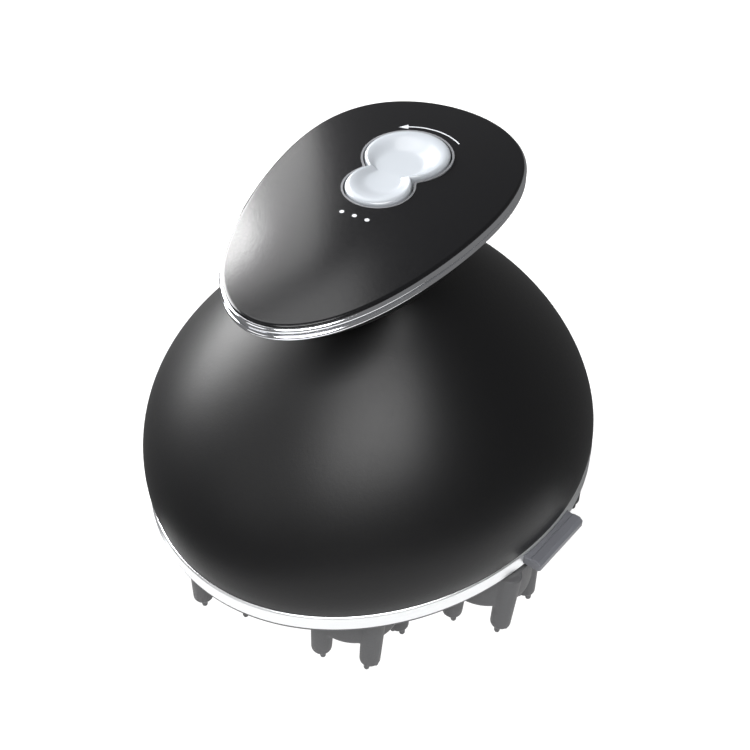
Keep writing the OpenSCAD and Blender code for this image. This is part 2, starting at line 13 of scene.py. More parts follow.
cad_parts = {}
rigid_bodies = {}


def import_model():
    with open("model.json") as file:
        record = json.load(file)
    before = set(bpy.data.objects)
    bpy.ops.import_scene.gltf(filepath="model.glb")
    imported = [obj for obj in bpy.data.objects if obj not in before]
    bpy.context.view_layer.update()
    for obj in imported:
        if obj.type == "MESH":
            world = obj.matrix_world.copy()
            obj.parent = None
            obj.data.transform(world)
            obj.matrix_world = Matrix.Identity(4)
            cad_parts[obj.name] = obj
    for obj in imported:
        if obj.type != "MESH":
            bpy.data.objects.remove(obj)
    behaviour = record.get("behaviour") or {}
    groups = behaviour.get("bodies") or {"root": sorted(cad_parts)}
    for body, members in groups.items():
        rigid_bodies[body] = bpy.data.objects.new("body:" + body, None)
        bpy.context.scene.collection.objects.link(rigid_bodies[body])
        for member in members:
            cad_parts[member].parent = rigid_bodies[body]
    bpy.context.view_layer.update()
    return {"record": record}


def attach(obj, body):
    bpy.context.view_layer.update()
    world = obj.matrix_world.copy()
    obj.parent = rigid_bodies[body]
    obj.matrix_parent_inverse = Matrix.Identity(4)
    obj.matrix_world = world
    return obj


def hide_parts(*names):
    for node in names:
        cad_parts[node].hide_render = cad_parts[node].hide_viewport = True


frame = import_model()

MM = 0.001
SIDES = 216

# ---------------------------------------------------------------- sizes of the CAD parts

BASE_LEN, BASE_WID, BASE_EGG = 127.0, 113.0, 0.053
LIP_H, LIP_IN, PLATE_T, BAND_T, BAND_H = 1.0, 0.8, 3.0, 1.6, 4.3
DOME_H, DOME_IN, DOME_END = 65.0, 0.4, 0.82
DOME_P, DOME_Q, DOME_SWELL, DOME_LEAN, DOME_EGG = 1.3, 0.64, 0.43, 3.5, -0.3
NECK, NECK_RUN = 0.3, 2.0
FLARE_WIDE, FLARE_RISE = (0, 0, 0.75, 1), (0, 0.42, 0.3, 1)
SHELL_T = 2.2
HANDLE_LEN, HANDLE_WID, HANDLE_H, HANDLE_X = 91.0, 54.6, 74.7, -0.5
HANDLE_TILT = 2.7
HANDLE_K1, HANDLE_K2 = 0.25, 0.158
TRIM_H, TRIM_T, TRIM_LIP, SEAT_H = 3.2, 1.0, 0.3, 2.0
COVER_T, COVER_EDGE, COVER_RISE, CROWN_H = 1.6, 1.5, 0.6, 1.7
COVER_IN, TRIM_TOP = 0.6, 0.1
LOBE_BIG, LOBE_SMALL, LOBE_GAP, WAIST_POWER, LOBE_SHARE = 10.0, 7.6, 13.6, 14, 0.204
BUTTON_GAP, SURROUND_T, BUTTON_TOP, BUTTON_BOTTOM, DISH_D = 0.4, 0.5, 3.1, -0.2, 1.1
ROCKER_Z, PIN_R, PIN_LEN, KEEL = -1.8, 1.0, 15.0, (3.2, 9.6)
HEADS, HEAD_RING, RING_TURN, HEAD_TURN = 8, 45.0, 3.5, 20.0
BOWL_R, BOWL_H, BOWL_ROUND = 11.4, 13.0, 2.5
HEAD_H, HEAD_GAP, FINGER_RING, FINGERS, NUBS = 22.0, 0.6, 10.5, 5, 3
FINGER_R, FINGER_TAPER, FINGER_LEAN, ROOT_IN = 3.0, 0.4, 4.0, 0.4
NUB_R, NUB_H, NUB_IN, TIP_IN, TIP_H = 0.8, 2.0, 1.6, 0.7, 0.6
TAB_T, TAB_Z, TAB_LEN, TAB_OUT, TAB_H = -98.0, 1.6, 19.0, 4.0, 2.9
FLANGE_Y, FLANGE_T, FLANGE_MORE = -2.7, 1.2, 1.2

BASE = (BASE_LEN / 2, BASE_WID / 2, BASE_EGG, 0.0)
PLATE = (HANDLE_LEN / 2, HANDLE_WID / 2, HANDLE_K1, HANDLE_K2)
HANDLE = (Matrix.Translation((HANDLE_X, 0, LIP_H + HANDLE_H))
          @ Matrix.Rotation(math.radians(-HANDLE_TILT), 4, "Y"))

# ---------------------------------------------------------------- outlines and meshes


def mix(a, b, f):
    return a + (b - a) * f


def spoke(radius, t):
    """The flat point at a radius and an angle t in radians."""
    return radius * Vector((math.cos(t), math.sin(t)))


def egg_point(egg, t):
    c, s = math.cos(t), math.sin(t)
    return Vector((egg[0] * c, egg[1] * s * (1 + egg[2] * c + egg[3] * c * c)))


def egg_edge(egg, t, d):
    """A point of the egg outline at angle t, moved out by d along the outline's normal."""
    tangent = (egg_point(egg, t + 0.005) - egg_point(egg, t - 0.005)).normalized()
    return egg_point(egg, t) + d * Vector((tangent.y, -tangent.x))


def angles(count=SIDES):
    return [2 * math.pi * i / count for i in range(count)]


def egg_ring(egg, d, z):
    return [Vector((*egg_edge(egg, t, d), z)) for t in angles()]


def mesh_object(name, points, faces, place=None, sharp=35):
    """A smooth-shaded object from points in millimetres."""
    mesh = bpy.data.meshes.new(name)
    place = place or Matrix.Identity(4)
    mesh.from_pydata([(place @ Vector(p)) * MM for p in points], [], faces)
    mesh.validate()
    mesh.update()
    mesh.shade_smooth()
    mesh.set_sharp_from_angle(angle=math.radians(sharp))
    piece = bpy.data.objects.new(name, mesh)
    bpy.context.scene.collection.objects.link(piece)
    return piece


def loft(name, rings, place=None, sharp=35, closed=True, caps=False):
    """Quads between rings that have the same number of points."""
    n, m = len(rings[0]), len(rings)
    faces = []
    for j in range(m if closed else m - 1):
        k = (j + 1) % m
        for i in range(n):
            e = (i + 1) % n
            faces.append((j * n + i, j * n + e, k * n + e, k * n + i))
    if caps:
        faces.append(tuple(range(n - 1, -1, -1)))
        faces.append(tuple(range((m - 1) * n, m * n)))
    return mesh_object(name, [p for ring in rings for p in ring], faces, place, sharp)


def dress(piece, slot, body, *nodes):
    """Gives a piece its finish, the body it rides on and the CAD nodes it stands for.

    The ink of the printed signs isn't a slot of the record, so it is left unnamed there.
    """
    piece.data.materials.clear()
    piece.data.materials.append(finish[slot])
    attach(piece, body)
    if nodes:
        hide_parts(*nodes)
    return piece


# ---------------------------------------------------------------- materials


def node_of(tree, kind, **inputs):
    node = tree.nodes.new(kind)
    for key, value in inputs.items():
        node.inputs[key.replace("_", " ")].default_value = value
    return node


def surface(name, color, roughness, metallic=0.0, grain=600.0, grain_depth=0.02,
            mottle=0.04, rough_swing=0.06, specular=0.5, coat=0.0, stretch=(1, 1, 1)):
    """A finish with fine grain in relief, soft colour mottling and uneven roughness."""
    material = bpy.data.materials.new(name)
    material.use_nodes = True
    tree = material.node_tree
    shader = tree.nodes["Principled BSDF"]
    shader.inputs["Metallic"].default_value = metallic
    shader.inputs["Specular IOR Level"].default_value = specular
    shader.inputs["Coat Weight"].default_value = coat
    shader.inputs["Coat Roughness"].default_value = 0.08
    place = tree.nodes.new("ShaderNodeTexCoord")
    scaled = tree.nodes.new("ShaderNodeMapping")
    scaled.inputs["Scale"].default_value = stretch
    tree.links.new(place.outputs["Object"], scaled.inputs["Vector"])

    broad = node_of(tree, "ShaderNodeTexNoise", Scale=45.0, Detail=4.0, Roughness=0.6)
    fine = node_of(tree, "ShaderNodeTexNoise", Scale=grain, Detail=3.0, Roughness=0.7)
    for noise in (broad, fine):
        tree.links.new(scaled.outputs["Vector"], noise.inputs["Vector"])

    tint = tree.nodes.new("ShaderNodeMapRange")
    tint.inputs["To Min"].default_value = 1 - mottle
    tint.inputs["To Max"].default_value = 1 + mottle
    tree.links.new(broad.outputs["Fac"], tint.inputs["Value"])
    shade = tree.nodes.new("ShaderNodeVectorMath")
    shade.operation = "SCALE"
    shade.inputs[0].default_value = color
    tree.links.new(tint.outputs["Result"], shade.inputs["Scale"])
    tree.links.new(shade.outputs["Vector"], shader.inputs["Base Color"])

    rough = tree.nodes.new("ShaderNodeMapRange")
    rough.inputs["To Min"].default_value = max(0.02, roughness - rough_swing)
    rough.inputs["To Max"].default_value = roughness + rough_swing
    tree.links.new(fine.outputs["Fac"], rough.inputs["Value"])
    tree.links.new(rough.outputs["Result"], shader.inputs["Roughness"])

    relief = node_of(tree, "ShaderNodeBump", Strength=grain_depth, Distance=0.0004)
    tree.links.new(fine.outputs["Fac"], relief.inputs["Height"])
    tree.links.new(relief.outputs["Normal"], shader.inputs["Normal"])
    return material


FINISHES = {
    "black_shell": dict(color=(0.003, 0.003, 0.0034), roughness=0.42, grain=1500, grain_depth=0.06,
                        mottle=0.10, specular=0.3),
    "black_cover": dict(color=(0.004, 0.004, 0.0046), roughness=0.18, grain=1200, grain_depth=0.03,
                        mottle=0.08, specular=0.4),
    "chrome_trim": dict(color=(0.86, 0.87, 0.90), roughness=0.10, metallic=1.0, grain_depth=0.01,
                        rough_swing=0.03),
    "grey_surround": dict(color=(0.11, 0.112, 0.12), roughness=0.5, grain_depth=0.08),
    "pearl_white": dict(color=(0.32, 0.34, 0.365), roughness=0.2, grain=900, grain_depth=0.02,
                        mottle=0.03, coat=0.4),
    "inner_black": dict(color=(0.02, 0.02, 0.022), roughness=0.55, grain_depth=0.2, mottle=0.15),
    "board_green": dict(color=(0.012, 0.11, 0.045), roughness=0.35, grain_depth=0.15, mottle=0.2),
    "chip_black": dict(color=(0.018, 0.018, 0.02), roughness=0.45, grain_depth=0.15, mottle=0.1),
    "silver_band": dict(color=(0.78, 0.79, 0.80), roughness=0.30, metallic=0.9, grain=700,
                        grain_depth=0.05, stretch=(1, 1, 14)),
    "dark_base": dict(color=(0.075, 0.076, 0.08), roughness=0.55, grain_depth=0.15, mottle=0.1),
    "seal_rubber": dict(color=(0.02, 0.02, 0.022), roughness=0.7, grain_depth=0.2),
    "tab_grey": dict(color=(0.12, 0.123, 0.137), roughness=0.42, grain_depth=0.10, mottle=0.08),
    "bushing_brass": dict(color=(0.60, 0.41, 0.16), roughness=0.3, metallic=1.0, mottle=0.1,
                          stretch=(1, 1, 9)),
    "screw_steel": dict(color=(0.52, 0.53, 0.55), roughness=0.35, metallic=1.0, mottle=0.1),
    "contact_gilt": dict(color=(0.78, 0.56, 0.20), roughness=0.25, metallic=1.0, mottle=0.08),
    "deck_grey": dict(color=(0.10, 0.105, 0.115), roughness=0.55, grain_depth=0.2, mottle=0.1),
    "motor_steel": dict(color=(0.48, 0.49, 0.51), roughness=0.32, metallic=1.0, mottle=0.1,
                        stretch=(1, 1, 12)),
    "weight_iron": dict(color=(0.16, 0.15, 0.14), roughness=0.5, metallic=0.9, grain_depth=0.3),
    "battery_film": dict(color=(0.03, 0.12, 0.36), roughness=0.25, grain_depth=0.04, mottle=0.1),
    "gear_nylon": dict(color=(0.68, 0.65, 0.55), roughness=0.48, grain_depth=0.1, mottle=0.06),
    "silicone_grey": dict(color=(0.072, 0.072, 0.075), roughness=0.55, grain=1100, grain_depth=0.12,
                          mottle=0.08, specular=0.4),
}
finish = {name: surface(name, **values) for name, values in FINISHES.items()}
finish["print_ink"] = surface("print_ink", color=(0.42, 0.43, 0.45), roughness=0.5)

for entry in frame["record"]["subparts"]:
    part = bpy.data.objects[entry["node"]]
    for slot in part.material_slots:
        slot.material = finish[entry["material_slot"]]

# ---------------------------------------------------------------- dome, neck and tray


def dome_share(z):
    return max(0.0, (z - BAND_H) / (DOME_H - BAND_H))


def dome_scale(z):
    u = dome_share(z)
    return (1 - u ** DOME_P) ** DOME_Q * (1 + DOME_SWELL * u * (1 - u))


def dome_section(s, z):
    a, b, u = BASE_LEN / 2 - DOME_IN, BASE_WID / 2 - DOME_IN, dome_share(z)
    return [a * s, b * s, BASE_EGG + DOME_EGG * u, 0, DOME_LEAN * u, LIP_H + z, 0, 0]


def raised(section, h):
    tilt = math.radians(section[6])
    return [*section[:4], section[4] - h * math.sin(tilt), section[5] + h * math.cos(tilt),
            *section[6:]]


def bezier3(p, f):
    g = 1 - f
    return g ** 3 * p[0] + 3 * g * g * f * p[1] + 3 * g * f * f * p[2] + f ** 3 * p[3]


def shell_sections(dome_steps=44, neck_steps=14, flare_steps=30):
    """Sections [a, b, k1, k2, centre x, z, tilt, outward offset] from the band to the tray."""
    fillet_z, step = DOME_END * DOME_H, 0.1
    fillet_s = dome_scale(fillet_z)
    slope = (fillet_s - dome_scale(fillet_z + step)) / step
    corner_z = fillet_z + (fillet_s - NECK) / slope
    neck_z = min(corner_z + NECK_RUN, HANDLE_H - 4 * TRIM_H)
    sections = []
    for i in range(dome_steps + 1):
        z = mix(BAND_H, fillet_z, math.sin(math.pi / 2 * i / dome_steps))
        sections.append(dome_section(dome_scale(z), z))
    for i in range(1, neck_steps + 1):
        f = i / neck_steps
        s = mix(mix(fillet_s, NECK, f), NECK, f)
        z = mix(mix(fillet_z, corner_z, f), mix(corner_z, neck_z, f), f)
        sections.append(dome_section(s, z))
    waist = dome_section(NECK, neck_z)
    tray = raised([*PLATE, HANDLE_X, LIP_H + HANDLE_H, HANDLE_TILT, -TRIM_T], -TRIM_H)
    for i in range(1, flare_steps + 1):
        f = i / flare_steps
        wide, rise = bezier3(FLARE_WIDE, f), bezier3(FLARE_RISE, f)
        section = [mix(a, b, wide) for a, b in zip(waist, tray)]
        section[5] = mix(waist[5], tray[5], rise)
        sections.append(section)
    sections.append(raised(tray, SEAT_H))
    return sections


def section_ring(section, d, rise):
    tilt = math.radians(section[6])
    ring = []
    for t in angles():
        p = egg_edge(section, t, section[7] + d)
        ring.append(Vector((section[4] + p.x * math.cos(tilt), p.y,
                            section[5] + rise + p.x * math.sin(tilt))))
    return ring


def build_dome():
    """The shell in one skin: outside up from the band to the tray, and back down inside."""
    sections = shell_sections()
    last = len(sections) - 1
    outer = [section_ring(s, 0, 0) for s in sections]
    inner = []
    for i, section in enumerate(sections):
        low, high = sections[max(i - 1, 0)], sections[min(i + 1, last)]
        run = (high[0] + high[1] - low[0] - low[1]) / 2
        climb = high[5] - low[5]
        size = math.hypot(run, climb)
        run, climb = (0, 1) if i in (0, last) else (run / size, climb / size)
        inner.append(section_ring(section, -SHELL_T * climb, SHELL_T * run))
    dome = loft("dome_skin", outer + inner[::-1])
    dress(dome, "black_shell", "casing", "dome_shell")


build_dome()

# ---------------------------------------------------------------- silver band and chrome rim


def arc(center, radius, start, end, steps):
    """Points of an arc in the plane of a cross-section, angles in degrees."""
    points = []
    for i in range(steps + 1):
        a = math.radians(mix(start, end, i / steps))
        points.append((center[0] + radius * math.cos(a), center[1] + radius * math.sin(a)))
    return points


def carve(piece, shape):
    """Cuts a bmesh shape out of a piece. The shape is in metres."""
    mesh = bpy.data.meshes.new("cutter")
    shape.to_mesh(mesh)
    shape.free()
    cutter = bpy.data.objects.new("cutter", mesh)
    bpy.context.scene.collection.objects.link(cutter)
    cut = piece.modifiers.new("cut", "BOOLEAN")
    cut.operation = "DIFFERENCE"
    cut.solver = "EXACT"
    cut.object = cutter
    graph = bpy.context.evaluated_depsgraph_get()
    result = bpy.data.meshes.new_from_object(piece.evaluated_get(graph))
    piece.modifiers.remove(cut)
    old = piece.data
    piece.data = result
    bpy.data.meshes.remove(old)
    bpy.data.objects.remove(cutter)
    bpy.data.meshes.remove(mesh)
    piece.data.shade_smooth()
    piece.data.set_sharp_from_angle(angle=math.radians(50))


def tab_place():
    """The tab's frame on the band: x along the band, y outward, z up."""
    t = math.radians(TAB_T)
    out = egg_edge(BASE, t, 1) - egg_edge(BASE, t, 0)
    turn = Matrix.Rotation(math.atan2(out.y, out.x) - math.pi / 2, 4, "Z")
    return Matrix.Translation((*egg_edge(BASE, t, 0), 0)) @ turn


def add_box(shape, low, high):
    center = (Vector(low) + Vector(high)) / 2
    size = Vector(high) - Vector(low)
    place = Matrix.Translation(center) @ Matrix.Diagonal((*size, 1))
    bmesh.ops.create_cube(shape, size=1, matrix=place)


def build_band():
    """The silver band with two rounded edges and a slot for the tab."""
    top, low_round, top_round = LIP_H + BAND_H, 0.35, 0.6
    section = [(-LIP_IN, LIP_H)]
    section += arc((-low_round, LIP_H + low_round), low_round, -80, 0, 5)
    section += arc((-top_round, top - top_round), top_round, 0, 84, 9)
    section += [(-BAND_T, top), (-BAND_T, PLATE_T), (-LIP_IN, PLATE_T)]
    band = loft("band_skin", [egg_ring(BASE, d, z) for d, z in section], sharp=50)
    side_play, rise_play, past_band = 0.2, 0.1, 2
    slot = bmesh.new()
    add_box(slot, (-TAB_LEN / 2 - side_play, FLANGE_Y, TAB_Z - rise_play),
            (TAB_LEN / 2 + side_play, past_band, TAB_Z + TAB_H + rise_play))
    bmesh.ops.transform(slot, matrix=Matrix.Scale(MM, 4) @ tab_place(), verts=slot.verts)
    carve(band, slot)
    dress(band, "silver_band", "casing", "base_band")


def build_lip():
    """The thin dark lip of the base plate that shows under the band."""
    outer, inner, low, top, bevel = -0.3, -1.2, 0.02, 0.95, (0.25, 0.28)
    section = [(inner, low), (outer - bevel[0], low), (outer, low + bevel[1]), (outer, top),
               (inner, top)]
    lip = loft("base_lip", [egg_ring(BASE, d, z) for d, z in section], sharp=50)
    dress(lip, "dark_base", "casing")


def build_tab():
    """The tab's nose, with a step beside the band and a bevel along its edge, and its flange."""
    low, top, half = TAB_Z, TAB_Z + TAB_H, TAB_LEN / 2
    low_bevel, top_bevel, step_out, step_run, step_h = 0.5, (0.9, 0.8), 1.2, 0.25, 0.3
    section = [(FLANGE_Y, low), (TAB_OUT - low_bevel, low), (TAB_OUT, low + low_bevel),
               (TAB_OUT, top - top_bevel[1]), (TAB_OUT - top_bevel[0], top), (step_out, top),
               (step_out - step_run, top - step_h), (FLANGE_Y, top - step_h)]
    middle = sum((Vector(p) for p in section), Vector((0, 0))) / len(section)
    ends = [(-half + run, inset) for run, inset in ((0, 0.4), (0.12, 0.15), (0.4, 0.0))]
    ends += [(-x, inset) for x, inset in reversed(ends)]
    rings = []
    for x, inset in ends:
        ring = []
        for p in section:
            y, z = Vector(p) + (middle - Vector(p)).normalized() * inset
            ring.append(Vector((x, y, z)))
        rings.append(ring)
    tab = loft("tab_skin", rings, tab_place(), closed=False, caps=True, sharp=22)
    flange = bmesh.new()
    add_box(flange, (-half - FLANGE_MORE, FLANGE_Y - FLANGE_T, low),
            (half + FLANGE_MORE, FLANGE_Y, top - step_h))
    merge(tab, flange, tab_place(), sharp=22)
    dress(tab, "tab_grey", "tab", "release_tab")


def build_trim():
    """Chrome rim: an upper and a lower bead with a narrow groove between them."""
    lip, lip_top, foot = -TRIM_T - TRIM_LIP, 0.04, -0.75
    upper_r, lower_r, lower_center = 0.72, 0.58, (-0.62, -2.5)
    upper = arc((-upper_r, lip_top - upper_r), upper_r, -58, 90, 14)
    lower = arc(lower_center, lower_r, -84, 66, 12)
    section = [(-TRIM_T, -TRIM_H), (foot, -TRIM_H)] + lower + upper
    section += [(lip, lip_top), (lip, SEAT_H - TRIM_H), (-TRIM_T, SEAT_H - TRIM_H)]
    rings = [egg_ring(PLATE, d, z) for d, z in section]
    trim = loft("chrome_rim", rings, HANDLE, sharp=50)
    dress(trim, "chrome_trim", "casing", "rim_trim")


def merge(piece, shape, place, sharp=40):
    """Adds the shape's faces to a piece. The shape is in millimetres."""
    bmesh.ops.transform(shape, matrix=Matrix.Scale(MM, 4) @ place, verts=shape.verts)
    both = bmesh.new()
    both.from_mesh(piece.data)
    extra = bpy.data.meshes.new("extra")
    shape.to_mesh(extra)
    shape.free()
    both.from_mesh(extra)
    both.to_mesh(piece.data)
    both.free()
    bpy.data.meshes.remove(extra)
    piece.data.shade_smooth()
    piece.data.set_sharp_from_angle(angle=math.radians(sharp))


build_band()
build_lip()
build_tab()
build_trim()

# ---------------------------------------------------------------- cover and rocker

WAIST_BIG = (LOBE_GAP ** 2 + LOBE_BIG ** 2 - LOBE_SMALL ** 2) / (2 * LOBE_GAP)
WAIST_SMALL = WAIST_BIG - LOBE_GAP
WAIST_X = LOBE_SHARE * HANDLE_LEN - WAIST_BIG


def lobe_reach(center, radius, t):
    return center * math.cos(t) + math.sqrt(radius ** 2 - (center * math.sin(t)) ** 2)


def rocker_edge(t, d):
    """A point of the figure-eight outline, moved out by d. The power rounds off the waist."""
    big = lobe_reach(WAIST_BIG, LOBE_BIG + d, t)
    small = lobe_reach(WAIST_SMALL, LOBE_SMALL + d, t)
    r = (big ** WAIST_POWER + small ** WAIST_POWER) ** (1 / WAIST_POWER)
    return Vector((WAIST_X + r * math.cos(t), r * math.sin(t)))


def crown(x, y):
    """Height of the cover's top over the plane of the plate's edge."""
    u = x / PLATE[0]
    v = y / (PLATE[1] * (1 + HANDLE_K1 * u + HANDLE_K2 * u * u))
    return COVER_RISE + CROWN_H * (1 - min(1.0, u * u + v * v))


def build_cover():
    """The crowned cover: its edge lies on the chrome rim and its skirt goes down inside it."""
    steps, crowding, edge_round = 30, 1.3, 0.4
    edge_in = COVER_IN + edge_round
    rounded = arc((-edge_in, COVER_RISE - edge_round), edge_round, 0, 75, 6)
    skirt = [egg_edge(PLATE, t, -TRIM_T - TRIM_LIP) for t in angles()]
    skirt_in = [egg_edge(PLATE, t, -TRIM_T - TRIM_LIP - COVER_EDGE) for t in angles()]
    hole = [rocker_edge(t, BUTTON_GAP + SURROUND_T) for t in angles()]
    rings = [[Vector((*p, z)) for p in skirt] for z in (SEAT_H - TRIM_H, TRIM_TOP)]
    for d, z in [(-COVER_IN, TRIM_TOP)] + rounded:
        rings.append(egg_ring(PLATE, d, z))
    edge = [egg_edge(PLATE, t, -edge_in) for t in angles()]
    for i in range(steps + 1):
        flat = [a.lerp(b, (i / steps) ** crowding) for a, b in zip(edge, hole)]
        rings.append([Vector((*p, crown(*p))) for p in flat])
    for i in range(steps, -1, -1):
        flat = [a.lerp(b, i / steps) for a, b in zip(skirt_in, hole)]
        rings.append([Vector((*p, crown(*p) - COVER_T)) for p in flat])
    rings.append([Vector((*p, SEAT_H - TRIM_H)) for p in skirt_in])
    cover = loft("cover_skin", rings, HANDLE, sharp=50)
    dress(cover, "black_cover", "casing", "handle_cover")


def rocker_top(x, y, share):
    """Height of the rocker's top: two dishes that run together inside one rounded rim.

    The share is 0 in the middle of the outline and 1 on it.
    """
    wall_at, wall_run, flat_part, rim_at, rim_drop = 0.9, 0.4, 0.75, 0.88, 0.9
    bowl = 0.0
    for center, radius in ((WAIST_BIG, LOBE_BIG), (WAIST_SMALL, LOBE_SMALL)):
        reach = math.hypot(x - WAIST_X - center, y) / radius
        bowl = max(bowl, 1 - reach ** 2)
    wall = min(1.0, max(0.0, (wall_at - share) / wall_run))
    depth = DISH_D * wall * wall * (3 - 2 * wall) * mix(flat_part, 1, bowl)
    rim = max(0.0, (share - rim_at) / (1 - rim_at))
    return BUTTON_TOP - depth - rim_drop * (1 - math.sqrt(max(0.0, 1 - rim ** 2)))


def add_cylinder(shape, radius, height, place, top=None, segments=32):
    bmesh.ops.create_cone(shape, cap_ends=True, segments=segments, radius1=radius,
                          radius2=radius if top is None else top, depth=height, matrix=place)


def build_rocker():
    """The dished rocker, with its two plungers, its keel and its pin below."""
    steps, plunger_r, plunger_len = 40, 1.2, 1.0
    rings = []
    for i in range(1, steps + 1):
        share = math.sin(math.pi / 2 * i / steps)
        flat = [Vector((WAIST_X, 0)).lerp(rocker_edge(t, 0), share) for t in angles()]
        rings.append([Vector((*p, rocker_top(p.x, p.y, share))) for p in flat])
    rings.append([Vector((*rocker_edge(t, 0), BUTTON_BOTTOM)) for t in angles()])
    rocker = loft("rocker_skin", rings[::-1], HANDLE, closed=False, caps=True, sharp=50)
    under = bmesh.new()
    for x in (WAIST_BIG, WAIST_SMALL):
        place = Matrix.Translation((WAIST_X + x, 0, BUTTON_BOTTOM - plunger_len / 2))
        add_cylinder(under, plunger_r, plunger_len, place)
    add_box(under, (WAIST_X - KEEL[0] / 2, -KEEL[1] / 2, ROCKER_Z - PIN_R),
            (WAIST_X + KEEL[0] / 2, KEEL[1] / 2, BUTTON_BOTTOM))
    lying = Matrix.Translation((WAIST_X, 0, ROCKER_Z)) @ Matrix.Rotation(math.pi / 2, 4, "X")
    add_cylinder(under, PIN_R, PIN_LEN, lying)
    merge(rocker, under, HANDLE)
    dress(rocker, "pearl_white", "rocker", "rocker_button")


build_cover()
build_rocker()

# ---------------------------------------------------------------- printed signs


INK_RISE = 0.03


def on_cover(p):
    return Vector((*p, crown(*p) + INK_RISE))


def printed(name, outline):
    """A thin printed patch on the cover, from a flat outline in the handle's frame."""
    center = sum(outline, Vector((0, 0))) / len(outline)
    points = [on_cover(p) for p in outline + [center]]
    n = len(outline)
    faces = [(i, (i + 1) % n, n) for i in range(n)]
    dress(mesh_object(name, points, faces, HANDLE), "print_ink", "casing")


def ribbon(name, path, width):
    """A printed line along a path of flat points."""
    left, right = [], []
    for i, p in enumerate(path):
        ahead = path[min(i + 1, len(path) - 1)] - path[max(i - 1, 0)]
        side = Vector((-ahead.y, ahead.x)).normalized() * width / 2
        left.append(p + side)
        right.append(p - side)
    points = [on_cover(p) for p in left + right]
    n = len(path)
    faces = [(i, n + i, n + i + 1, i + 1) for i in range(n - 1)]
    dress(mesh_object(name, points, faces, HANDLE), "print_ink", "casing")


def build_signs():
    """A curved arrow beside the big lobe and three dots beside the small one."""
    center = Vector((WAIST_X + WAIST_BIG, 0))
    radius, line, half_foot, start, foot, tip = 13.4, 0.4, 1.0, -36, 28, 38
    path = [center + spoke(radius, math.radians(a)) for a in range(start, foot + 1, 4)]
    ribbon("turn_sign", path, line)
    feet = [center + spoke(radius + side, math.radians(foot)) for side in (half_foot, -half_foot)]
    printed("turn_arrow", [center + spoke(radius, math.radians(tip)), *feet])
    dot_r, dot_step, dots_out, dots_aside = 0.55, 3.2, 12.2, -1
    for k in (-1, 0, 1):
        dot = Vector((WAIST_X + WAIST_SMALL - dots_out, dot_step * k + dots_aside))
        printed("tap_dot_%d" % (k + 2), [dot + spoke(dot_r, t) for t in angles(24)])


build_signs()

# ---------------------------------------------------------------- silicone heads


def add_bowl(shape):
    """The head's bowl: a straight wall, a rounded edge below it and a flat bottom."""
    profile = [(BOWL_R, -HEAD_GAP)]
    for degrees in range(0, 91, 10):
        t = math.radians(degrees)
        profile.append((BOWL_R - BOWL_ROUND * (1 - math.cos(t)),
                        -BOWL_H + BOWL_ROUND * (1 - math.sin(t))))
    count = 72
    rings = []
    for r, z in profile:
        rings.append([shape.verts.new((r * math.cos(t), r * math.sin(t), z))
                      for t in angles(count)])
    for upper, lower in zip(rings, rings[1:]):
        for i in range(count):
            e = (i + 1) % count
            shape.faces.new((lower[i], lower[e], upper[e], upper[i]))
    shape.faces.new(rings[0])
    shape.faces.new(rings[-1][::-1])


def add_finger(shape, root):
    """One leaning finger that ends in nubs. Its root lies just inside the bowl's top."""
    straight, tip_r = HEAD_H - NUB_H - HEAD_GAP - 1, FINGER_R - FINGER_TAPER
    lean = math.radians(FINGER_LEAN)
    drop = straight / math.cos(lean)
    leaning = root @ Matrix.Rotation(-lean, 4, "X")
    add_cylinder(shape, tip_r, drop, leaning @ Matrix.Translation((0, 0, -drop / 2)),
                 top=FINGER_R)
    add_cylinder(shape, tip_r - TIP_IN, TIP_H,
                 leaning @ Matrix.Translation((0, 0, -drop - TIP_H / 2)), top=tip_r)
    for n in range(NUBS):
        turn = Matrix.Rotation(2 * math.pi * (n + 0.5) / NUBS, 4, "Z")
        end = Matrix.Translation((FINGER_R - NUB_IN, 0, HEAD_GAP + ROOT_IN - HEAD_H + NUB_R))
        nub = root @ Matrix.Translation((0, -straight * math.tan(lean), 0)) @ turn @ end
        bmesh.ops.create_uvsphere(shape, u_segments=20, v_segments=12, radius=NUB_R, matrix=nub)
        add_cylinder(shape, NUB_R, NUB_H, nub @ Matrix.Translation((0, 0, NUB_H / 2)),
                     segments=20)


def build_head_mesh():
    """One head in its own frame: bowl and fingers melted together, softened and thinned out."""
    shape = bmesh.new()
    add_bowl(shape)
    for k in range(FINGERS):
        spin = Matrix.Rotation(2 * math.pi * k / FINGERS, 4, "Z")
        add_finger(shape, spin @ Matrix.Translation((FINGER_RING, 0, -HEAD_GAP - ROOT_IN)))
    bmesh.ops.scale(shape, vec=(MM, MM, MM), verts=shape.verts)
    mesh = bpy.data.meshes.new("head_raw")
    shape.to_mesh(mesh)
    shape.free()
    raw = bpy.data.objects.new("head_raw", mesh)
    bpy.context.scene.collection.objects.link(raw)
    melt = raw.modifiers.new("melt", "REMESH")
    melt.mode = "VOXEL"
    melt.voxel_size = 0.32 * MM
    soften = raw.modifiers.new("soften", "SMOOTH")
    soften.factor = 0.5
    soften.iterations = 4
    thin = raw.modifiers.new("thin", "DECIMATE")
    thin.ratio = 0.22
    graph = bpy.context.evaluated_depsgraph_get()
    baked = bpy.data.meshes.new_from_object(raw.evaluated_get(graph))
    baked.shade_smooth()
    bpy.data.objects.remove(raw)
    bpy.data.meshes.remove(mesh)
    return baked


